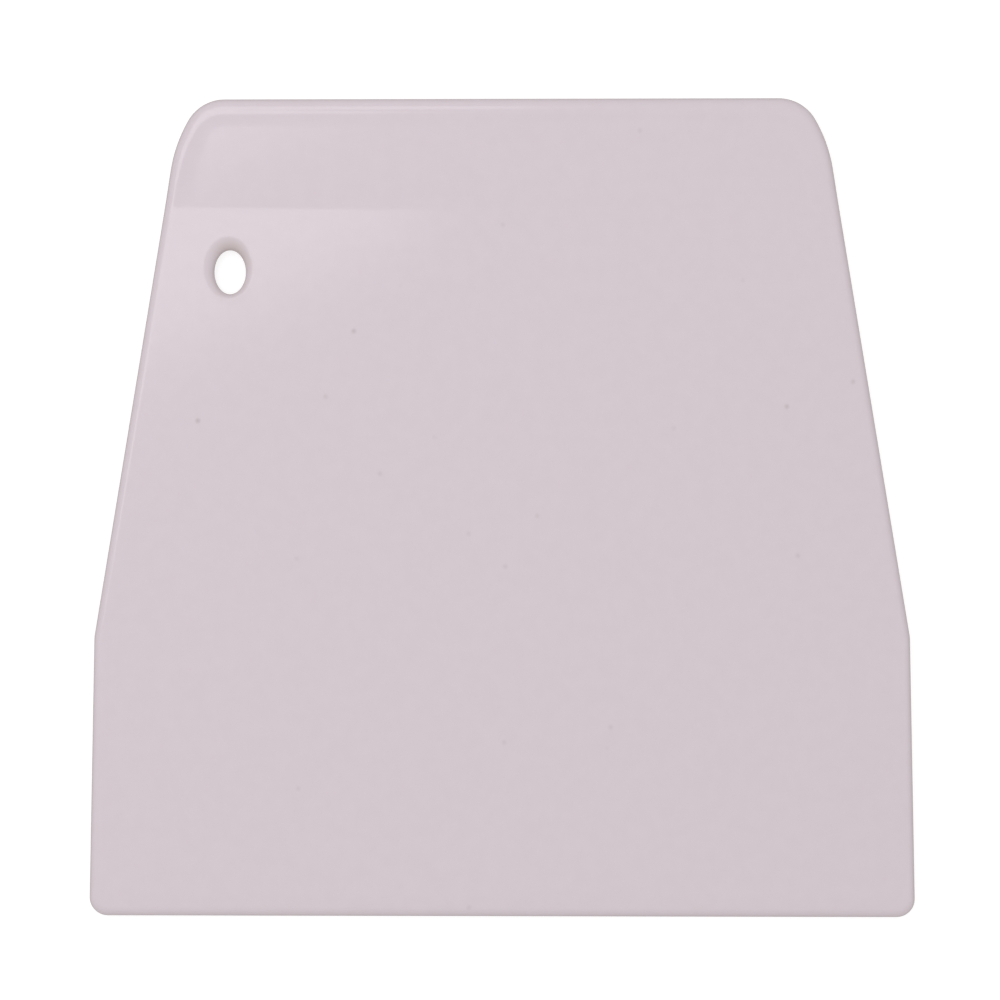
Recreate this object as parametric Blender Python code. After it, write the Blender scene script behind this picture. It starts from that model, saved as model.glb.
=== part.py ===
"""A one-piece moulded plastic bench scraper, lying on its flat back.

Metres. +X runs along the blade edge, +Y from the blade edge to the grip and +Z out of the front.
The origin is under the middle of the outline, on the plane of the back.

The plate is first built one unit thick, as rings that step inwards from its outline, and each point
is then lifted to the real thickness at its place: thin at the blade edge, full under the grip.
"""

import math

import bmesh
import bpy
from mathutils import Vector

# Outline, measured up from the blade edge. Widths are before the corners are rounded.
HEIGHT = 0.1188
BLADE_WIDTH = 0.1201
KNEE_HEIGHT = 0.0406
KNEE_WIDTH = 0.1186
GRIP_WIDTH = 0.0928
BLADE_CORNER_RADIUS = 0.0026
KNEE_RADIUS = 0.0050

# Each shoulder is a wide arc that leaves the side, then a tight arc that meets the top edge
SHOULDER_WIDE_RADIUS = 0.0209
SHOULDER_TIGHT_RADIUS = 0.0061
SHOULDER_CHANGE_ANGLE = math.radians(30.2)

# Thickness: the blade tapers, its front rolls off to the edge, and the grip band is wedge-shaped
NOSE_THICKNESS = 0.0014
BEVEL_HEIGHT = 0.0046
BEVEL_POWER = 3
BLADE_THICKNESS = 0.0020
CREASE_THICKNESS = 0.0024
GRIP_THICKNESS = 0.0033
CREASE_HEIGHT = HEIGHT - 0.0159

# The edge is round all the way. It reaches in further by these shares, along the top and the blade.
TOP_RIM_EXTRA = 0.35
BLADE_RIM_EXTRA = 0.75

# The low bead round the grip band rises towards the edge from its foot, and fades in above the crease
BEAD_RISE = 0.00038
BEAD_FOOT = 0.0042
BEAD_POWER = 2
BEAD_FADE = 0.0050
BEAD_RUN_OUT = 0.0004

# Hanging hole, an upright ellipse. Its edges are rounded, from a start angle to upright, and reach
# further on the side that they are shifted to.
HOLE_CENTRE = Vector((-0.0395, HEIGHT - 0.02505))
HOLE_SIZE = Vector((0.0046, 0.0064))
HOLE_EDGE_WIDTH = 0.0013
HOLE_EDGE_DEPTH = 0.0011
HOLE_EDGE_SHIFT = Vector((-0.0001, 0.0005))
HOLE_EDGE_START = math.radians(12)

# How finely round stretches are divided
CORNER_STEPS = 6
KNEE_STEPS = 3
SHOULDER_STEPS = 6
RIM_STEPS = 4
BEAD_STEPS = 4
BEVEL_STEPS = 5
HOLE_STEPS = 32
HOLE_EDGE_STEPS = 3

PLASTIC_COLOUR = (0.68, 0.61, 0.66, 1.0)
PLASTIC_ROUGHNESS = 0.15
SHARP_ANGLE = math.radians(30)


def normal_at(angle):
    """The outward direction at an angle above +X."""
    return Vector((math.cos(angle), math.sin(angle)))


def side_normal(low, high):
    """The outward direction of a straight right-hand side."""
    run = high - low
    return Vector((run.y, -run.x)).normalized()


def arc(centre, radius, first, last, steps):
    """Points along an arc, each with its outward direction."""
    angles = [first + (last - first) * step / steps for step in range(steps + 1)]
    return [(centre + radius * normal_at(a), normal_at(a)) for a in angles]


def fillet(before, corner, after, radius, steps):
    """The arc that rounds a corner between two straight runs."""
    back, ahead = (before - corner).normalized(), (after - corner).normalized()
    half_angle = back.angle(ahead) / 2
    centre = corner + (back + ahead).normalized() * radius / math.sin(half_angle)
    first, last = side_normal(before, corner), side_normal(corner, after)
    return arc(centre, radius, math.atan2(*first.yx), math.atan2(*last.yx), steps)


BLADE_CORNER = Vector((BLADE_WIDTH / 2, 0.0))
KNEE = Vector((KNEE_WIDTH / 2, KNEE_HEIGHT))
GRIP_CORNER = Vector((GRIP_WIDTH / 2, HEIGHT))
UPPER_NORMAL = side_normal(KNEE, GRIP_CORNER)


def shoulder_centres():
    """The centres of the wide and the tight arc, which share a tangent where they meet."""
    step = (SHOULDER_WIDE_RADIUS - SHOULDER_TIGHT_RADIUS) * normal_at(SHOULDER_CHANGE_ANGLE)
    height = HEIGHT - SHOULDER_TIGHT_RADIUS
    reach = GRIP_CORNER.dot(UPPER_NORMAL) + step.dot(UPPER_NORMAL) - SHOULDER_WIDE_RADIUS
    tight = Vector(((reach - height * UPPER_NORMAL.y) / UPPER_NORMAL.x, height))
    return tight - step, tight


WIDE_CENTRE, TIGHT_CENTRE = shoulder_centres()


def side_point(height):
    """A point on the straight upper side, with its outward direction."""
    along = (height - KNEE_HEIGHT) / (HEIGHT - KNEE_HEIGHT)
    return KNEE.lerp(GRIP_CORNER, along), UPPER_NORMAL


def half_outline():
    """The right half of the outline, from the middle of the blade edge to the middle of the top."""
    bottom, top = Vector((0.0, 0.0)), Vector((0.0, HEIGHT))
    first = math.atan2(*UPPER_NORMAL.yx)
    points = [(bottom, Vector((0.0, -1.0)))]
    points += fillet(bottom, BLADE_CORNER, KNEE, BLADE_CORNER_RADIUS, CORNER_STEPS)
    points += fillet(BLADE_CORNER, KNEE, GRIP_CORNER, KNEE_RADIUS, KNEE_STEPS)
    points += [side_point(CREASE_HEIGHT + rise) for rise in (-BEAD_FADE, 0.0, BEAD_FADE)]
    points += arc(WIDE_CENTRE, SHOULDER_WIDE_RADIUS, first, SHOULDER_CHANGE_ANGLE, SHOULDER_STEPS)
    points += arc(
        TIGHT_CENTRE, SHOULDER_TIGHT_RADIUS, SHOULDER_CHANGE_ANGLE, math.pi / 2, SHOULDER_STEPS
    )[1:]
    points.append((top, Vector((0.0, 1.0))))
    return points


def outline():
    """The whole outline, anticlockwise from the middle of the blade edge."""
    right = half_outline()
    left = [(Vector((-p.x, p.y)), Vector((-n.x, n.y))) for p, n in reversed(right[1:-1])]
    return right + left


def edge_distance(x, y):
    """How far a point in the grip band is from the outline."""
    point = Vector((abs(x), y))
    for centre, radius, first, last in (
        (TIGHT_CENTRE, SHOULDER_TIGHT_RADIUS, SHOULDER_CHANGE_ANGLE, math.pi / 2),
        (WIDE_CENTRE, SHOULDER_WIDE_RADIUS, math.atan2(*UPPER_NORMAL.yx), SHOULDER_CHANGE_ANGLE),
    ):
        arm = point - centre
        if first <= math.atan2(arm.y, arm.x) <= last:
            return radius - arm.length
    return min(HEIGHT - y, (GRIP_CORNER - point).dot(UPPER_NORMAL))


def smooth(value):
    """0 below 0, 1 above 1, and an S-curve between."""
    value = min(max(value, 0.0), 1.0)
    return value * value * (3 - 2 * value)


def bead_height(x, y):
    """How far the bead stands above the grip band."""
    if y <= CREASE_HEIGHT:
        return 0.0
    flank = max(1 - edge_distance(x, y) / BEAD_FOOT, 0.0) ** BEAD_POWER
    return BEAD_RISE * flank * smooth((y - CREASE_HEIGHT) / BEAD_FADE)


def thickness(x, y):
    """The plate's thickness at a point."""
    if y > CREASE_HEIGHT:
        along = (y - CREASE_HEIGHT) / (HEIGHT - CREASE_HEIGHT)
        wedge = CREASE_THICKNESS + (GRIP_THICKNESS - CREASE_THICKNESS) * along
        return wedge + bead_height(x, y)
    along = (y - BEVEL_HEIGHT) / (CREASE_HEIGHT - BEVEL_HEIGHT)
    blade = BLADE_THICKNESS + (CREASE_THICKNESS - BLADE_THICKNESS) * max(along, 0.0)
    roll_off = max(1 - y / BEVEL_HEIGHT, 0.0) ** BEVEL_POWER
    return blade - (BLADE_THICKNESS - NOSE_THICKNESS) * roll_off


def add_ring(bm, points, level):
    """Vertices at one level, from 0 at the back to 1 at the front."""
    return [bm.verts.new((point.x, point.y, level)) for point in points]


def skin(bm, rings):
    """Quads between each ring and the next."""
    for low, high in zip(rings, rings[1:]):
        for i in range(len(low)):
            j = (i + 1) % len(low)
            bm.faces.new((low[i], low[j], high[j], high[i]))


def rim_width(p, n):
    """How far in the round edge reaches: half the thickness, and more along the top and the blade."""
    extra = TOP_RIM_EXTRA * n.y if n.y > 0 else -BLADE_RIM_EXTRA * n.y
    return thickness(p.x, p.y) / 2 * (1 + extra)


def rim_ring(bm, angle, side):
    """A ring of the round edge, angle from the middle of the edge, towards the front (1) or back (-1)."""
    points = [p - n * rim_width(p, n) * (1 - math.cos(angle)) for p, n in outline()]
    return add_ring(bm, points, (1 + side * math.sin(angle)) / 2)


def bead_ring(bm, share):
    """A ring on the bead, from the rim (0) to its foot (1). Below the grip band it hugs the rim."""
    points = []
    for p, n in outline():
        rim = rim_width(p, n)
        width = BEAD_FOOT - rim if p.y >= CREASE_HEIGHT else BEAD_RUN_OUT
        points.append(p - n * (rim + width * share))
    return add_ring(bm, points, 1.0)


def outer_rings(bm):
    """Rings from the back face, round the edge and over the bead."""
    angles = [math.pi / 2 * step / RIM_STEPS for step in range(RIM_STEPS + 1)]
    rings = [rim_ring(bm, angle, -1) for angle in reversed(angles)]
    rings += [rim_ring(bm, angle, 1) for angle in angles[1:]]
    return rings + [bead_ring(bm, step / BEAD_STEPS) for step in range(1, BEAD_STEPS + 1)]


def hole_ring(bm, share, level):
    """A ring of the hole, from its waist (share 0) to the far side of its rounded edge (share 1)."""
    centre = HOLE_CENTRE + HOLE_EDGE_SHIFT * share
    half = HOLE_SIZE / 2 + Vector((HOLE_EDGE_WIDTH, HOLE_EDGE_WIDTH)) * share
    turns = [math.tau * step / HOLE_STEPS for step in range(HOLE_STEPS)]
    points = [centre + Vector((half.x * math.cos(a), half.y * math.sin(a))) for a in turns]
    return add_ring(bm, points, level)


def hole_rings(bm):
    """Rings of the hole, from the front face to the back face, rounded at both ends."""
    depth = HOLE_EDGE_DEPTH / thickness(*HOLE_CENTRE)
    first_sin, first_cos = math.sin(HOLE_EDGE_START), math.cos(HOLE_EDGE_START)
    sweep = math.pi / 2 - HOLE_EDGE_START
    angles = [HOLE_EDGE_START + sweep * step / HOLE_EDGE_STEPS for step in range(HOLE_EDGE_STEPS + 1)]
    profile = [
        ((1 - math.sin(a)) / (1 - first_sin), depth * (1 - math.cos(a) / first_cos)) for a in angles
    ]
    rings = [hole_ring(bm, share, 1 - drop) for share, drop in profile]
    return rings + [hole_ring(bm, share, drop) for share, drop in reversed(profile)]


def loop_edges(bm, ring):
    """The edges that join a ring's vertices in order."""
    return [bm.edges.get((a, b)) for a, b in zip(ring, ring[1:] + ring[:1])]


def fill_face(bm, outer, inner):
    """A flat face between an outer ring and the hole."""
    bmesh.ops.triangle_fill(bm, use_beauty=True, edges=loop_edges(bm, outer) + loop_edges(bm, inner))


def cut_across(bm, height):
    """A row of edges across the plate, where its thickness changes slope."""
    whole = bm.verts[:] + bm.edges[:] + bm.faces[:]
    bmesh.ops.bisect_plane(bm, geom=whole, plane_co=(0, height, 0), plane_no=(0, 1, 0))


def lift_to_thickness(bm):
    """Gives the unit-thick plate its real thickness."""
    for vert in bm.verts:
        vert.co.z *= thickness(vert.co.x, vert.co.y)


def build_plate():
    """The whole scraper as one closed mesh."""
    bm = bmesh.new()
    outer, hole = outer_rings(bm), hole_rings(bm)
    skin(bm, outer)
    skin(bm, hole)
    fill_face(bm, outer[-1], hole[0])
    fill_face(bm, outer[0], hole[-1])
    for step in range(1, BEVEL_STEPS + 1):
        cut_across(bm, BEVEL_HEIGHT * step / BEVEL_STEPS)
    cut_across(bm, CREASE_HEIGHT)
    lift_to_thickness(bm)
    bmesh.ops.triangulate(bm, faces=bm.faces[:])
    bmesh.ops.recalc_face_normals(bm, faces=bm.faces[:])
    mesh = bpy.data.meshes.new("scraper")
    bm.to_mesh(mesh)
    bm.free()
    return mesh


def plastic():
    """Semi-gloss white polypropylene."""
    material = bpy.data.materials.new("white_plastic")
    material.use_nodes = True
    shader = material.node_tree.nodes["Principled BSDF"]
    shader.inputs["Base Color"].default_value = PLASTIC_COLOUR
    shader.inputs["Roughness"].default_value = PLASTIC_ROUGHNESS
    shader.inputs["Metallic"].default_value = 0.0
    return material


def clear_scene():
    """Starts from an empty scene."""
    for item in list(bpy.data.objects):
        bpy.data.objects.remove(item)


def main():
    clear_scene()
    mesh = build_plate()
    mesh.materials.append(plastic())
    mesh.shade_smooth()
    mesh.set_sharp_from_angle(angle=SHARP_ANGLE)
    scraper = bpy.data.objects.new("scraper", mesh)
    scraper.location.y = -HEIGHT / 2
    bpy.context.scene.collection.objects.link(scraper)


main()
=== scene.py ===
"""The looks of the bench scraper: its fine surface, its plastic, and a plain studio.

The scraper lies on its flat back on a white floor, with the camera straight above it.
+X runs along the blade edge, +Y towards the grip and +Z out of the front. Lengths are in metres.
"""

import math

import bmesh
import bpy
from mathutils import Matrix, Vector, geometry, noise


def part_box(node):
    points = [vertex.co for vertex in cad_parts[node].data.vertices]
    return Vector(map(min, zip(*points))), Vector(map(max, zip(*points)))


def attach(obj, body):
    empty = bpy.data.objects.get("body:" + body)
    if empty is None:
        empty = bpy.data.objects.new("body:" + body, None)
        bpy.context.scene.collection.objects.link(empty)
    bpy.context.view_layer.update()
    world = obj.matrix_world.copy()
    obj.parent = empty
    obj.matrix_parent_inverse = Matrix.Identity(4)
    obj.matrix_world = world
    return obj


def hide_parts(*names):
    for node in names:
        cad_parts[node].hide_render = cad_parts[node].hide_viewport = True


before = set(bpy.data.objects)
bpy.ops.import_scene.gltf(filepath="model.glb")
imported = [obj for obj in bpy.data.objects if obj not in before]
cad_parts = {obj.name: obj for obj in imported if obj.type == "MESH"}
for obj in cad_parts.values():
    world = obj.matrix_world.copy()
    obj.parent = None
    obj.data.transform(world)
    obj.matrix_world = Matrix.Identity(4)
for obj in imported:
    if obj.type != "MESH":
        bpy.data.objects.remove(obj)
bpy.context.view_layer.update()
low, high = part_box("scraper")

# Outline, measured up from the blade edge. Widths are before the corners are rounded.
HEIGHT = high[1] - low[1]
BLADE_EDGE = low[1]
BLADE_WIDTH = 0.1201
KNEE_HEIGHT = 0.0406
KNEE_WIDTH = 0.1186
GRIP_WIDTH = 0.0928
BLADE_CORNER_RADIUS = 0.0026
KNEE_RADIUS = 0.0050
SHOULDER_WIDE_RADIUS = 0.0209
SHOULDER_TIGHT_RADIUS = 0.0061
SHOULDER_CHANGE_ANGLE = math.radians(30.2)

# Thickness
NOSE_THICKNESS = 0.0014
BEVEL_HEIGHT = 0.0046
BEVEL_POWER = 3
BLADE_THICKNESS = 0.0020
CREASE_THICKNESS = 0.0024
GRIP_THICKNESS = 0.0033
CREASE_HEIGHT = HEIGHT - 0.0159
CREASE_HALF_WIDTH = 0.0004

# Bead round the grip band. It fades in above the crease, and its rings draw together below it.
BEAD_RISE = 0.00038
BEAD_FOOT = 0.0042
BEAD_POWER = 2
BEAD_FADE = 0.0050
BEAD_RUN_OUT = 0.0004

# How much further in the round edge reaches along the top and the blade than at the sides, as a share
TOP_RIM_EXTRA = 0.35
BLADE_RIM_EXTRA = 0.75

# Marks of the mould. A faint wave runs over the front, with a shorter and weaker ripple on it.
FLASH_RISE = 0.00004
FLASH_ANGLE = math.radians(4)
WAVE_HEIGHT = 0.000003
WAVE_LENGTH = 0.018
RIPPLE_SHARE = 0.4
RIPPLE_RATE = 2.6
PIN_MARK_RADIUS = 0.0030
PIN_MARK_DEPTH = 0.00005
PIN_MARK_SLOPE = 0.0002
PIN_MARK_PLACES = [(-0.030, 0.022), (0.030, 0.022), (0.0, 0.060), (-0.022, 0.090), (0.034, 0.090)]

# Hanging hole, an upright ellipse. Its edges are rounded, from a start angle to upright, and reach
# further on the side that they are shifted to. A flat ring round them, out to this many edge widths,
# keeps their shading off the face.
HOLE_CENTRE = Vector((-0.0395, HEIGHT - 0.02505))
HOLE_SIZE = Vector((0.0046, 0.0064))
HOLE_EDGE_WIDTH = 0.0013
HOLE_EDGE_DEPTH = 0.0011
HOLE_EDGE_SHIFT = Vector((-0.0001, 0.0005))
HOLE_EDGE_START = math.radians(12)
HOLE_RUN_OUT = 1.12

# How finely the surface is divided
STATION_GAP = 0.0008
CREASE_GAP = 0.00012
CREASE_REACH = 0.0012
LATTICE_GAP = 0.0016
LATTICE_MARGIN = LATTICE_GAP / 3
CORNER_STEPS = 16
KNEE_STEPS = 8
SHOULDER_STEPS = 24
RIM_STEPS = 9
BEAD_STEPS = 9
BEVEL_ROWS = 14
CREASE_ROWS = 12
CREASE_BAND = 1.5 * CREASE_HALF_WIDTH
HOLE_STEPS = 72
HOLE_EDGE_STEPS = 9
PIN_MARK_STEPS = 40

# The triangulation takes points this close as one, and this is its code for filling only the inside
FILL_MERGE = 1e-7
FILL_INSIDE_ONLY = 1


def even(start, end, count):
    """A number of equal steps from start to end, with both ends."""
    return [start + (end - start) * step / count for step in range(count + 1)]


def spaced(start, end, gap):
    """Equal steps from start to end, each about as long as a gap."""
    return even(start, end, max(1, round((end - start) / gap)))


def normal_at(angle):
    """The outward direction at an angle above +X."""
    return Vector((math.cos(angle), math.sin(angle)))


def angle_of(direction):
    """The angle of a direction above +X."""
    return math.atan2(direction.y, direction.x)


def side_normal(start, end):
    """The outward direction of a straight run of the right-hand outline."""
    along = end - start
    return Vector((along.y, -along.x)).normalized()


def arc(centre, radius, first, last, steps):
    """Points along an arc, each with its outward direction."""
    return [(centre + radius * normal_at(a), normal_at(a)) for a in even(first, last, steps)]


def fillet(before, corner, after, radius, steps):
    """The arc that rounds a corner between two straight runs."""
    back, ahead = (before - corner).normalized(), (after - corner).normalized()
    centre = corner + (back + ahead).normalized() * radius / math.sin(back.angle(ahead) / 2)
    first, last = angle_of(side_normal(before, corner)), angle_of(side_normal(corner, after))
    return arc(centre, radius, first, last, steps)


def run(start, end, gap):
    """Evenly spaced points strictly between two points, each with its outward direction."""
    count = max(1, math.ceil((end - start).length / gap))
    return [(start.lerp(end, step / count), side_normal(start, end)) for step in range(1, count)]


BLADE_CORNER = Vector((BLADE_WIDTH / 2, 0.0))
KNEE = Vector((KNEE_WIDTH / 2, KNEE_HEIGHT))
GRIP_CORNER = Vector((GRIP_WIDTH / 2, HEIGHT))
LOWER_NORMAL = side_normal(BLADE_CORNER, KNEE)
UPPER_NORMAL = side_normal(KNEE, GRIP_CORNER)


def shoulder_centres():
    """The centres of the wide and the tight arc, which share a tangent where they meet."""
    step = (SHOULDER_WIDE_RADIUS - SHOULDER_TIGHT_RADIUS) * normal_at(SHOULDER_CHANGE_ANGLE)
    height = HEIGHT - SHOULDER_TIGHT_RADIUS
    reach = GRIP_CORNER.dot(UPPER_NORMAL) + step.dot(UPPER_NORMAL) - SHOULDER_WIDE_RADIUS
    tight = Vector(((reach - height * UPPER_NORMAL.y) / UPPER_NORMAL.x, height))
    return tight - step, tight


WIDE_CENTRE, TIGHT_CENTRE = shoulder_centres()

# Centre, radius, first angle and last angle of the shoulder's two arcs
SHOULDER_TURNS = (
    (WIDE_CENTRE, SHOULDER_WIDE_RADIUS, angle_of(UPPER_NORMAL), SHOULDER_CHANGE_ANGLE),
    (TIGHT_CENTRE, SHOULDER_TIGHT_RADIUS, SHOULDER_CHANGE_ANGLE, math.pi / 2),
)


def side_point(height):
    """A point on the straight upper side."""
    return KNEE.lerp(GRIP_CORNER, (height - KNEE_HEIGHT) / (HEIGHT - KNEE_HEIGHT))


def half_outline():
    """The right half of the outline, from the middle of the blade edge to the middle of the top."""
    bottom, top = Vector((0.0, 0.0)), Vector((0.0, HEIGHT))
    corner = fillet(bottom, BLADE_CORNER, KNEE, BLADE_CORNER_RADIUS, CORNER_STEPS)
    knee = fillet(BLADE_CORNER, KNEE, GRIP_CORNER, KNEE_RADIUS, KNEE_STEPS)
    wide, tight = (arc(*turn, SHOULDER_STEPS) for turn in SHOULDER_TURNS)
    below = side_point(CREASE_HEIGHT - CREASE_REACH)
    above = side_point(CREASE_HEIGHT + CREASE_REACH)
    points = [(bottom, Vector((0.0, -1.0)))]
    points += run(bottom, corner[0][0], STATION_GAP) + corner
    points += run(corner[-1][0], knee[0][0], STATION_GAP) + knee
    points += run(knee[-1][0], below, STATION_GAP) + [(below, UPPER_NORMAL)]
    points += run(below, above, CREASE_GAP) + [(above, UPPER_NORMAL)]
    points += run(above, wide[0][0], STATION_GAP) + wide + tight[1:]
    points += run(tight[-1][0], top, STATION_GAP)
    points.append((top, Vector((0.0, 1.0))))
    return points


def outline():
    """The whole outline, anticlockwise from the middle of the blade edge."""
    right = half_outline()
    left = [(Vector((-p.x, p.y)), Vector((-n.x, n.y))) for p, n in reversed(right[1:-1])]
    return right + left


def edge_distance(x, y):
    """How far a point is from the outline."""
    point = Vector((abs(x), y))
    for centre, radius, first, last in reversed(SHOULDER_TURNS):
        arm = point - centre
        if first <= angle_of(arm) <= last:
            return radius - arm.length
    sides = (KNEE - point).dot(UPPER_NORMAL), (KNEE - point).dot(LOWER_NORMAL)
    return min(HEIGHT - y, y, *sides)


def smooth(value):
    """0 below 0, 1 above 1, and an S-curve between."""
    value = min(max(value, 0.0), 1.0)
    return value * value * (3 - 2 * value)


def bead_height(x, y):
    """How far the bead stands above the grip band."""
    if y <= CREASE_HEIGHT:
        return 0.0
    flank = max(1 - edge_distance(x, y) / BEAD_FOOT, 0.0) ** BEAD_POWER
    return BEAD_RISE * flank * smooth((y - CREASE_HEIGHT) / BEAD_FADE)


def past_crease(y):
    """How far a height is past the crease, turned softly from 0 to the distance itself."""
    over = y - CREASE_HEIGHT
    if abs(over) < CREASE_HALF_WIDTH:
        return (over + CREASE_HALF_WIDTH) ** 2 / (4 * CREASE_HALF_WIDTH)
    return max(over, 0.0)


def thickness(x, y):
    """The plate's thickness at a point."""
    blade_slope = (CREASE_THICKNESS - BLADE_THICKNESS) / (CREASE_HEIGHT - BEVEL_HEIGHT)
    grip_slope = (GRIP_THICKNESS - CREASE_THICKNESS) / (HEIGHT - CREASE_HEIGHT)
    plate = BLADE_THICKNESS + blade_slope * max(y - BEVEL_HEIGHT, 0.0)
    plate += (grip_slope - blade_slope) * past_crease(y)
    roll_off = max(1 - y / BEVEL_HEIGHT, 0.0) ** BEVEL_POWER
    return plate - (BLADE_THICKNESS - NOSE_THICKNESS) * roll_off + bead_height(x, y)


def wave(x, y):
    """The slight unevenness of a moulded face."""
    place = Vector((x, y, 0.0)) / WAVE_LENGTH
    ripple = noise.noise(place * RIPPLE_RATE)
    return WAVE_HEIGHT * (noise.noise(place) + RIPPLE_SHARE * ripple)


def vertex(bm, x, y, level):
    """A vertex at a level through the plate, from 0 at the back to 1 at the front."""
    height = level * thickness(x, y) + level * level * wave(x, y)
    return bm.verts.new((x, y + BLADE_EDGE, low[2] + height))


def add_ring(bm, points, level):
    """Vertices over points of the outline, all at one level."""
    return [vertex(bm, point.x, point.y, level) for point in points]


def skin(bm, rings):
    """Quads between each ring and the next."""
    for lower, upper in zip(rings, rings[1:]):
        for i in range(len(lower)):
            j = (i + 1) % len(lower)
            bm.faces.new((lower[i], lower[j], upper[j], upper[i]))


def rim_width(p, n):
    """How far in the round edge reaches: half the thickness, and more along the top and the blade."""
    extra = TOP_RIM_EXTRA * n.y if n.y > 0 else -BLADE_RIM_EXTRA * n.y
    return thickness(p.x, p.y) / 2 * (1 + extra)


def side_reach(y):
    """Half the width at a height, on the straight runs."""
    return min((KNEE.dot(n) - y * n.y) / n.x for n in (LOWER_NORMAL, UPPER_NORMAL))


def rim_ring(bm, stations, angle, side):
    """A ring of the round edge, angle from its middle, towards the front (1) or the back (-1)."""
    flash = FLASH_RISE if angle == 0 else 0.0
    points = [p - n * (rim_width(p, n) * (1 - math.cos(angle)) - flash) for p, n in stations]
    return add_ring(bm, points, (1 + side * math.sin(angle)) / 2)


def bead_inset(p, n, share):
    """How far a ring lies inside the outline, from the rim (0) to the bead's foot (1)."""
    rim = rim_width(p, n)
    growth = smooth((p.y - CREASE_HEIGHT + BEAD_FADE) / BEAD_FADE)
    full = BEAD_FOOT - rim
    return rim + share * (BEAD_RUN_OUT + (full - BEAD_RUN_OUT) * growth)


def outer_rings(bm):
    """Rings from the back face, round the edge and over the bead."""
    stations = outline()
    angles = even(FLASH_ANGLE, math.pi / 2, RIM_STEPS)
    rings = [rim_ring(bm, stations, angle, -1) for angle in reversed(angles)]
    rings += [rim_ring(bm, stations, angle, 1) for angle in [0.0, *angles]]
    for share in even(0.0, 1.0, BEAD_STEPS)[1:]:
        rings.append(add_ring(bm, [p - n * bead_inset(p, n, share) for p, n in stations], 1.0))
    return rings


def ellipse(centre, half, steps):
    """Points round an ellipse, whose half width and half height are given."""
    turns = even(0.0, math.tau, steps)[:-1]
    return [centre + Vector((half.x * math.cos(a), half.y * math.sin(a))) for a in turns]


def hole_ring(bm, share, level):
    """A ring of the hole, from its waist (share 0) to its edge's far side (1) and the face beyond."""
    half = HOLE_SIZE / 2 + Vector((HOLE_EDGE_WIDTH, HOLE_EDGE_WIDTH)) * share
    points = ellipse(HOLE_CENTRE + HOLE_EDGE_SHIFT * share, half, HOLE_STEPS)
    return add_ring(bm, points, level)


def hole_rings(bm):
    """Rings of the hole, from the front face to the back face, rounded at both ends."""
    depth = HOLE_EDGE_DEPTH / thickness(*HOLE_CENTRE)
    first_sin, first_cos = math.sin(HOLE_EDGE_START), math.cos(HOLE_EDGE_START)
    profile = [(HOLE_RUN_OUT, 0.0)]
    for angle in even(HOLE_EDGE_START, math.pi / 2, HOLE_EDGE_STEPS):
        share = (1 - math.sin(angle)) / (1 - first_sin)
        profile.append((share, depth * (1 - math.cos(angle) / first_cos)))
    rings = [hole_ring(bm, share, 1 - drop) for share, drop in profile]
    return rings + [hole_ring(bm, share, drop) for share, drop in reversed(profile)]


def in_hole(x, y, margin):
    """Whether a point is inside the hole's widest ring, or within a margin of it."""
    reach = HOLE_EDGE_WIDTH * HOLE_RUN_OUT + margin
    half = HOLE_SIZE / 2 + Vector((reach, reach))
    away = Vector((x, y)) - HOLE_CENTRE - HOLE_EDGE_SHIFT * HOLE_RUN_OUT
    return (away.x / half.x) ** 2 + (away.y / half.y) ** 2 < 1


def front_lattice():
    """Points over the front face, with more rows where it bends: on the bevel and at the crease."""
    below, above = CREASE_HEIGHT - CREASE_BAND, CREASE_HEIGHT + CREASE_BAND
    rows = even(0.0, BEVEL_HEIGHT, BEVEL_ROWS)
    rows += spaced(BEVEL_HEIGHT, below, LATTICE_GAP)[1:]
    rows += even(below, above, CREASE_ROWS)[1:]
    rows += spaced(above, HEIGHT, LATTICE_GAP)[1:]
    points = []
    for y in rows:
        inset = bead_inset(Vector((side_reach(y), y)), UPPER_NORMAL, 1.0) + LATTICE_MARGIN
        for x in spaced(-BLADE_WIDTH / 2, BLADE_WIDTH / 2, LATTICE_GAP):
            if edge_distance(x, y) > inset and not in_hole(x, y, LATTICE_MARGIN):
                points.append((x, y))
    return points


def fill(bm, loops, loose, level):
    """Triangles between loops of vertices and over loose points, with the hole left open."""
    flat, edges, verts = [], [], []
    for loop in loops:
        first = len(flat)
        flat += [Vector((v.co.x, v.co.y - BLADE_EDGE)) for v in loop]
        edges += [(first + i, first + (i + 1) % len(loop)) for i in range(len(loop))]
        verts += loop
    flat += [Vector(point) for point in loose]
    verts += [vertex(bm, x, y, level) for x, y in loose]
    filled = geometry.delaunay_2d_cdt(flat, edges, [], FILL_INSIDE_ONLY, FILL_MERGE)
    made, _, faces, sources, _, _ = filled
    for face in faces:
        middle = sum((made[i] for i in face), Vector((0.0, 0.0))) / len(face)
        if not in_hole(middle.x, middle.y, 0.0):
            bm.faces.new([verts[sources[i][0]] for i in face])


def pin_mark_rings(bm):
    """The shallow round prints that the mould's ejector pins leave in the back."""
    loops = []
    for place in PIN_MARK_PLACES:
        for radius, depth in (
            (PIN_MARK_RADIUS + PIN_MARK_SLOPE, 0.0),
            (PIN_MARK_RADIUS, PIN_MARK_DEPTH),
            (PIN_MARK_RADIUS - PIN_MARK_SLOPE, PIN_MARK_DEPTH),
        ):
            points = ellipse(Vector(place), Vector((radius, radius)), PIN_MARK_STEPS)
            loops.append([bm.verts.new((p.x, p.y + BLADE_EDGE, low[2] + depth)) for p in points])
    return loops


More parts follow.
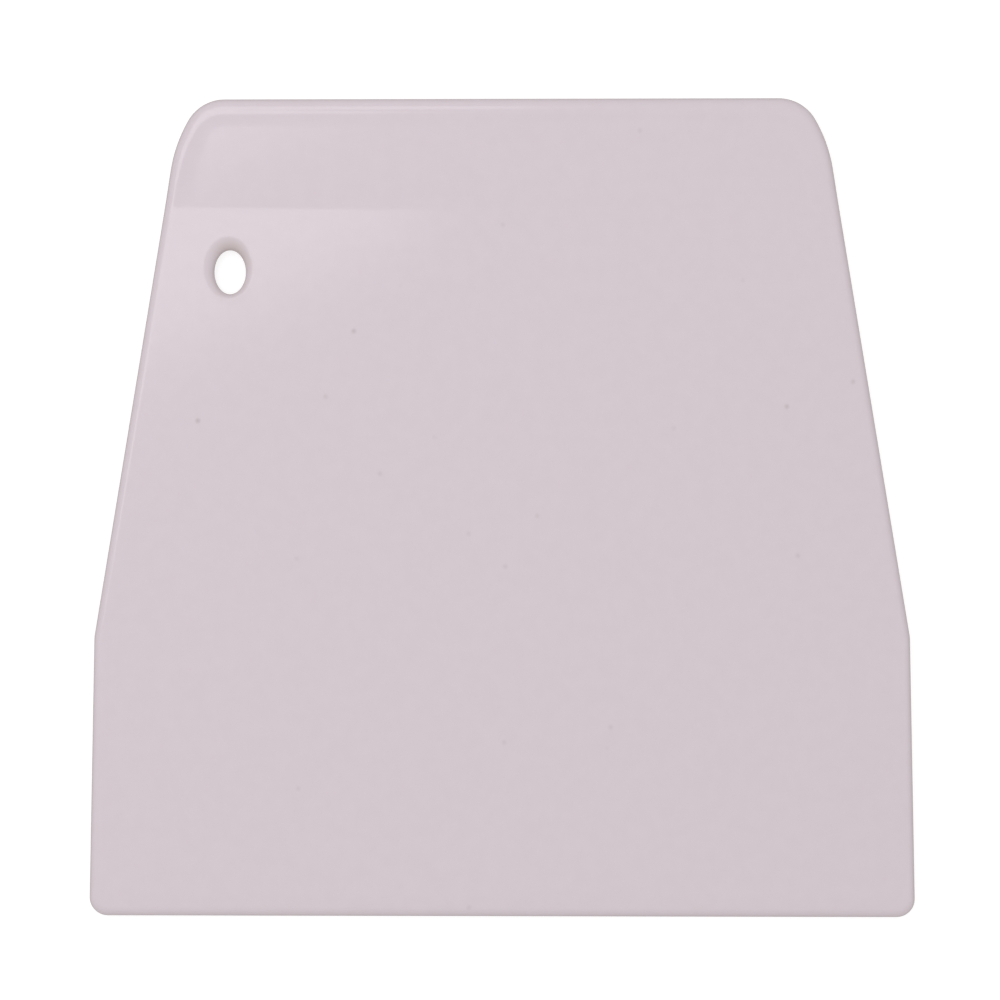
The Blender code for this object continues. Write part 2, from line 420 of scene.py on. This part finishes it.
def build_plate():
    """The whole scraper as one closed mesh."""
    bm = bmesh.new()
    outer, hole = outer_rings(bm), hole_rings(bm)
    skin(bm, outer)
    skin(bm, hole)
    fill(bm, [outer[-1], hole[0]], front_lattice(), 1.0)
    fill(bm, [outer[0], hole[-1], *pin_mark_rings(bm)], [], 0.0)
    bmesh.ops.recalc_face_normals(bm, faces=bm.faces[:])
    mesh = bpy.data.meshes.new("scraper_plate")
    bm.to_mesh(mesh)
    bm.free()
    mesh.shade_smooth()
    return mesh


# Plastic: two tones that drift over it in clouds, and a fine grain in its gloss and relief. A noise's
# values mostly fall between NOISE_LOW and NOISE_HIGH.
PLASTIC_DARK = (0.677, 0.609, 0.659, 1.0)
PLASTIC_LIGHT = (0.687, 0.619, 0.670, 1.0)
CLOUD_SCALE = 420.0
CLOUD_DETAIL = 3.0
CLOUD_ROUGHNESS = 0.6
NOISE_LOW = 0.3
NOISE_HIGH = 0.7
GRAIN_SCALE = 2600.0
GRAIN_DETAIL = 2.0
GLOSSY_ROUGHNESS = 0.10
DULL_ROUGHNESS = 0.14
BUMP_STRENGTH = 0.02
BUMP_DISTANCE = 0.0001
REFRACTION = 1.54
SUBSURFACE_WEIGHT = 0.06
SUBSURFACE_RADIUS = (1.0, 0.75, 0.6)
SUBSURFACE_SCALE = 0.0012

# Specks: the ones that stand out, each as x, y and strength, and faint ones in some cells of a grid
SPECK_COLOUR = (0.55, 0.48, 0.51, 1.0)
SPECK_RADIUS = 0.0006
SPECKS = [
    (-0.0441, 0.0127, 1.0),
    (-0.0214, 0.0257, 0.85),
    (0.0414, 0.0147, 0.8),
    (0.0510, 0.0183, 0.6),
    (-0.0255, 0.0162, 0.5),
    (-0.0176, 0.0050, 0.45),
    (0.0430, -0.0069, 0.45),
    (0.0006, -0.0085, 0.45),
    (0.0159, -0.0318, 0.4),
    (-0.0295, -0.0408, 0.35),
]
FAINT_SPECK_SPACING = 0.0050
FAINT_SPECK_SHARE = 0.10
FAINT_SPECK_STRENGTH = 0.4

# Painted shade round the hole's edge, darkest at its top. Lengths are in half widths and half heights
# of the hole, from its middle. The painted shade is full at the FULL distance, gone at the REACH
# distance, and grows along the DIRECTION.
HOLE_SHADE_COLOUR = (0.44, 0.36, 0.31, 1.0)
HOLE_SHADE_SHARE = 0.45
HOLE_SHADE_FULL = 1.05
HOLE_SHADE_REACH = 1.75
HOLE_SHADE_DIRECTION = (0.25, 0.97, 0.0)
HOLE_SHADE_RISE_START = 0.1
HOLE_SHADE_RISE_END = 1.2
HOLE_SHADE_LEAST = 0.25

# Scratches: noise drawn out along two directions, kept where it is high and inside some patches
SCRATCH_ANGLES = (0.35, -1.2)
SCRATCH_SPACING = 0.00025
SCRATCH_STRETCH = 0.02
SCRATCH_DETAIL = 1.0
SCRATCH_RANGE = (0.70, 0.76)
SCRATCH_PATCH_SCALE = 0.06 / SCRATCH_SPACING
SCRATCH_PATCH_RANGE = (0.5, 0.6)
SCRATCH_ROUGHNESS = 0.12

# Where a Mix node has its colour sockets, whose names its other sockets share
MIX_COLOUR_INPUTS = (6, 7)
MIX_COLOUR_OUTPUT = 2


class Nodes:
    """A short way to add shader nodes and join them."""

    def __init__(self, name):
        self.material = bpy.data.materials.new(name)
        self.material.use_nodes = True
        self.tree = self.material.node_tree
        self.shader = self.tree.nodes["Principled BSDF"]

    def add(self, kind, settings=(), **inputs):
        """A node with its settings, and its inputs set to values or linked to sockets."""
        node = self.tree.nodes.new("ShaderNode" + kind)
        for name, value in dict(settings).items():
            setattr(node, name, value)
        for name, value in inputs.items():
            self.join(value, node.inputs[name.replace("_", " ")])
        return node

    def join(self, value, socket):
        """Links a socket to an input, or sets the input to a value."""
        if isinstance(value, bpy.types.NodeSocket):
            self.tree.links.new(value, socket)
        else:
            socket.default_value = value

    def math(self, operation, *values):
        """The result of a Math node."""
        node = self.add("Math", {"operation": operation})
        for value, socket in zip(values, node.inputs):
            self.join(value, socket)
        return node.outputs[0]

    def mix(self, share, first, second):
        """One colour turned into another by a share from 0 to 1."""
        node = self.add("Mix", {"data_type": "RGBA"}, Factor=share)
        for colour, place in zip((first, second), MIX_COLOUR_INPUTS):
            self.join(colour, node.inputs[place])
        return node.outputs[MIX_COLOUR_OUTPUT]

    def remap(self, value, start, end, low_out, high_out):
        """A value turned from one range to another, held at both ends."""
        node = self.add("MapRange", {"interpolation_type": "SMOOTHSTEP"})
        for socket, number in zip(node.inputs, (value, start, end, low_out, high_out)):
            self.join(number, socket)
        return node.outputs[0]

    def noise(self, place, **inputs):
        """The strength of a Noise Texture node."""
        return self.add("TexNoise", Vector=place, **inputs).outputs["Fac"]


def specks(n, place):
    """The dark specks of burnt resin that stand out on the front face."""
    total = 0.0
    for x, y, strength in SPECKS:
        centre = (x, y, low[2] + thickness(x, y - BLADE_EDGE))
        away = n.add("VectorMath", {"operation": "DISTANCE"}, Vector=place)
        away.inputs[1].default_value = centre
        dot = n.remap(away.outputs["Value"], SPECK_RADIUS, 0.0, 0.0, strength)
        total = n.math("MAXIMUM", dot, total)
    return total


def faint_specks(n, place):
    """Weaker specks all over, one in some of the cells of a loose grid."""
    cells = n.add("TexVoronoi", Vector=place, Scale=1 / FAINT_SPECK_SPACING)
    chance = n.add("SeparateColor", Color=cells.outputs["Color"]).outputs["Red"]
    radius = SPECK_RADIUS / FAINT_SPECK_SPACING
    dot = n.remap(cells.outputs["Distance"], radius, 0.0, 0.0, FAINT_SPECK_STRENGTH)
    return n.math("MULTIPLY", dot, n.math("LESS_THAN", chance, FAINT_SPECK_SHARE))


def hole_painted_shade(n, place):
    """How strongly shade is painted on the hole's edge: most at its top."""
    centre = (HOLE_CENTRE.x, HOLE_CENTRE.y + BLADE_EDGE, 0.0)
    scale = (HOLE_SIZE.x / 2, HOLE_SIZE.y / 2, 1.0)
    local = n.add("Mapping", {"vector_type": "TEXTURE"}, Vector=place, Location=centre, Scale=scale)
    radius = n.add("VectorMath", {"operation": "LENGTH"}, Vector=local.outputs[0]).outputs["Value"]
    rise = n.add("VectorMath", {"operation": "DOT_PRODUCT"}, Vector=local.outputs[0])
    rise.inputs[1].default_value = HOLE_SHADE_DIRECTION
    ring = n.remap(radius, HOLE_SHADE_REACH, HOLE_SHADE_FULL, 0.0, 1.0)
    top = n.remap(rise.outputs["Value"], HOLE_SHADE_RISE_START, HOLE_SHADE_RISE_END, HOLE_SHADE_LEAST, 1.0)
    return n.math("MULTIPLY", ring, top)


def tint(n, place):
    """The plastic's colour, with faint flow marks, dark specks and painted shade round the hole."""
    cloud = n.noise(place, Scale=CLOUD_SCALE, Detail=CLOUD_DETAIL, Roughness=CLOUD_ROUGHNESS)
    plain = n.mix(n.remap(cloud, NOISE_LOW, NOISE_HIGH, 0.0, 1.0), PLASTIC_DARK, PLASTIC_LIGHT)
    # Painted shade: the hole's edge is darkened towards the shade colour, most at its top.
    shaded = n.mix(n.math("MULTIPLY", hole_painted_shade(n, place), HOLE_SHADE_SHARE), plain, HOLE_SHADE_COLOUR)
    dots = n.math("MAXIMUM", specks(n, place), faint_specks(n, place))
    return n.mix(dots, shaded, SPECK_COLOUR)


def scratches(n, place, angle):
    """Sparse hairline scratches along one direction, 1 on a scratch and 0 elsewhere."""
    turn, stretch = (0.0, 0.0, angle), (1.0, SCRATCH_STRETCH, 1.0)
    turned = n.add("Mapping", Vector=place, Rotation=turn, Scale=stretch).outputs[0]
    lines = n.noise(turned, Scale=1 / SCRATCH_SPACING, Detail=SCRATCH_DETAIL)
    patches = n.noise(turned, Scale=SCRATCH_PATCH_SCALE, Detail=SCRATCH_DETAIL)
    kept_lines = n.remap(lines, *SCRATCH_RANGE, 0.0, 1.0)
    kept_patches = n.remap(patches, *SCRATCH_PATCH_RANGE, 0.0, 1.0)
    return n.math("MULTIPLY", kept_lines, kept_patches)


def white_plastic():
    """Semi-gloss white polypropylene, as it comes out of a polished mould."""
    n = Nodes("white_plastic")
    place = n.add("TexCoord").outputs["Object"]
    n.join(tint(n, place), n.shader.inputs["Base Color"])

    grain = n.noise(place, Scale=GRAIN_SCALE, Detail=GRAIN_DETAIL)
    scratch = n.math("MAXIMUM", *(scratches(n, place, angle) for angle in SCRATCH_ANGLES))
    gloss = n.remap(grain, NOISE_LOW, NOISE_HIGH, GLOSSY_ROUGHNESS, DULL_ROUGHNESS)
    n.join(n.math("MULTIPLY_ADD", scratch, SCRATCH_ROUGHNESS, gloss), n.shader.inputs["Roughness"])
    relief = n.math("MULTIPLY_ADD", scratch, -1.0, grain)
    bump = n.add("Bump", Strength=BUMP_STRENGTH, Distance=BUMP_DISTANCE, Height=relief)
    n.join(bump.outputs[0], n.shader.inputs["Normal"])

    n.shader.inputs["IOR"].default_value = REFRACTION
    n.shader.inputs["Subsurface Weight"].default_value = SUBSURFACE_WEIGHT
    n.shader.inputs["Subsurface Radius"].default_value = SUBSURFACE_RADIUS
    n.shader.inputs["Subsurface Scale"].default_value = SUBSURFACE_SCALE
    return n.material


# Floor: a white table that curves up into a wall all round
FLOOR_REACH = 3.0
FLOOR_BEND = 0.6
FLOOR_BEND_STEPS = 12
FLOOR_WALL = 2.0
FLOOR_TURN_STEPS = 96
FLOOR_WELD = 0.001
FLOOR_GAP = 0.0001
FLOOR_COLOUR = (0.35, 0.35, 0.35, 1.0)
FLOOR_ROUGHNESS = 0.9
FLOOR_GLOW = 0.75
FLOOR_GLOW_COLOUR = (1.0, 1.0, 1.0, 1.0)


def floor_material():
    """A white, evenly lit table."""
    n = Nodes("white_floor")
    n.shader.inputs["Base Color"].default_value = FLOOR_COLOUR
    n.shader.inputs["Roughness"].default_value = FLOOR_ROUGHNESS
    n.shader.inputs["Emission Color"].default_value = FLOOR_GLOW_COLOUR
    n.shader.inputs["Emission Strength"].default_value = FLOOR_GLOW
    return n.material


# Camera, straight above the scraper but for a small lean to its right
CAMERA_DISTANCE = 0.45
CAMERA_YAW = math.radians(1.0)
VIEW_WIDTH = 0.1451
AIM = Vector((-0.00016, 0.00117, 0.0024))
SENSOR_WIDTH = 36.0

# Sky, from straight below (0) to straight above (1)
NADIR_COLOUR = (0.39, 0.35, 0.33, 1.0)
HORIZON_COLOUR = (0.62, 0.60, 0.58, 1.0)
ZENITH_COLOUR = (0.905, 0.89, 0.88, 1.0)
HORIZON_PLACE = 0.5

# Soft boxes, which face straight down. The key's near edge is KEY_NEAR_EDGE from the camera, towards
# KEY_DIRECTION, and the box is shifted by KEY_SHIFT along that edge.
KEY_HEIGHT = 0.45
KEY_NEAR_EDGE = 0.0863
KEY_DIRECTION = math.radians(115.2)
KEY_SIZE = (0.28, 0.22)
KEY_SHIFT = 0.1398
KEY_RADIANCE = 1.45
KEY_COLOUR = (0.98, 0.97, 1.0)
TOP_PLACE = (-0.170, 0.300, 0.45)
TOP_SIZE = (0.34, 0.20)
TOP_RADIANCE = 1.3
TOP_COLOUR = (0.98, 0.97, 1.0)


def add_floor():
    """A white table that curves up into a wall all round, which only the camera sees."""
    bm = bmesh.new()
    profile = [(0.0, 0.0)]
    for angle in even(0.0, math.pi / 2, FLOOR_BEND_STEPS):
        out, up = FLOOR_BEND * math.sin(angle), FLOOR_BEND * (1 - math.cos(angle))
        profile.append((FLOOR_REACH + out, up))
    profile.append((FLOOR_REACH + FLOOR_BEND, FLOOR_WALL))
    verts = [bm.verts.new((x, 0.0, z)) for x, z in profile]
    edges = [bm.edges.new(pair) for pair in zip(verts, verts[1:])]
    turn = {"axis": (0, 0, 1), "cent": (0, 0, 0), "steps": FLOOR_TURN_STEPS, "angle": math.tau}
    bmesh.ops.spin(bm, geom=verts + edges, **turn)
    bmesh.ops.remove_doubles(bm, verts=bm.verts[:], dist=FLOOR_WELD)
    mesh = bpy.data.meshes.new("floor")
    bm.to_mesh(mesh)
    bm.free()
    mesh.shade_smooth()
    mesh.materials.append(floor_material())
    floor = bpy.data.objects.new("floor", mesh)
    floor.location.z = low[2] - FLOOR_GAP
    floor.visible_diffuse = False
    floor.visible_glossy = False
    floor.visible_transmission = False
    floor.visible_shadow = False
    bpy.context.scene.collection.objects.link(floor)


def add_camera():
    """Above the scraper and a little to its right."""
    data = bpy.data.cameras.new("camera")
    data.sensor_width = SENSOR_WIDTH
    data.lens = SENSOR_WIDTH * CAMERA_DISTANCE / VIEW_WIDTH
    camera = bpy.data.objects.new("camera", data)
    back = Vector((math.sin(CAMERA_YAW), 0.0, math.cos(CAMERA_YAW)))
    camera.location = AIM + back * CAMERA_DISTANCE
    camera.rotation_euler = (0.0, CAMERA_YAW, 0.0)
    bpy.context.scene.collection.objects.link(camera)
    bpy.context.scene.camera = camera


def add_area_light(name, place, turn, size, radiance, colour):
    """A soft box that gives off the same radiance all over."""
    data = bpy.data.lights.new(name, "AREA")
    data.shape = "RECTANGLE"
    data.size, data.size_y = size
    data.energy = radiance * math.pi * size[0] * size[1]
    data.color = colour
    light = bpy.data.objects.new(name, data)
    light.location = place
    light.rotation_euler = turn
    bpy.context.scene.collection.objects.link(light)


def add_key_light():
    """A soft box beside the camera, whose near edge shows as the sheen round the hole."""
    away, along = normal_at(KEY_DIRECTION), normal_at(KEY_DIRECTION + math.pi / 2)
    reach = away * (KEY_NEAR_EDGE + KEY_SIZE[1] / 2) + along * KEY_SHIFT
    place = (math.sin(CAMERA_YAW) * CAMERA_DISTANCE + reach.x, reach.y, KEY_HEIGHT)
    turn = (0.0, 0.0, KEY_DIRECTION - math.pi / 2)
    add_area_light("key", place, turn, KEY_SIZE, KEY_RADIANCE, KEY_COLOUR)


def add_top_light():
    """A second soft box beyond the top edge, which runs along that edge as a highlight."""
    add_area_light("top", TOP_PLACE, (0.0, 0.0, 0.0), TOP_SIZE, TOP_RADIANCE, TOP_COLOUR)


def add_world():
    """A plain sky, from one colour straight below to another straight above."""
    world = bpy.data.worlds.new("studio")
    world.use_nodes = True
    nodes, links = world.node_tree.nodes, world.node_tree.links
    direction = nodes.new("ShaderNodeTexCoord")
    parts = nodes.new("ShaderNodeSeparateXYZ")
    height = nodes.new("ShaderNodeMapRange")
    height.inputs["From Min"].default_value = -1.0
    ramp = nodes.new("ShaderNodeValToRGB")
    ramp.color_ramp.elements[0].color = NADIR_COLOUR
    ramp.color_ramp.elements[1].color = ZENITH_COLOUR
    ramp.color_ramp.elements.new(HORIZON_PLACE).color = HORIZON_COLOUR
    links.new(direction.outputs["Generated"], parts.inputs[0])
    links.new(parts.outputs["Z"], height.inputs["Value"])
    links.new(height.outputs[0], ramp.inputs[0])
    links.new(ramp.outputs["Color"], nodes["Background"].inputs["Color"])
    bpy.context.scene.world = world


def add_scraper():
    """The fine plate, in place of the CAD solid."""
    plate = bpy.data.objects.new("scraper_plate", build_plate())
    plate.data.materials.append(white_plastic())
    bpy.context.scene.collection.objects.link(plate)
    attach(plate, "root")
    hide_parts("scraper")


add_camera()
add_world()
add_key_light()
add_top_light()
add_floor()
add_scraper()
bpy.context.scene.view_settings.view_transform = "Standard"
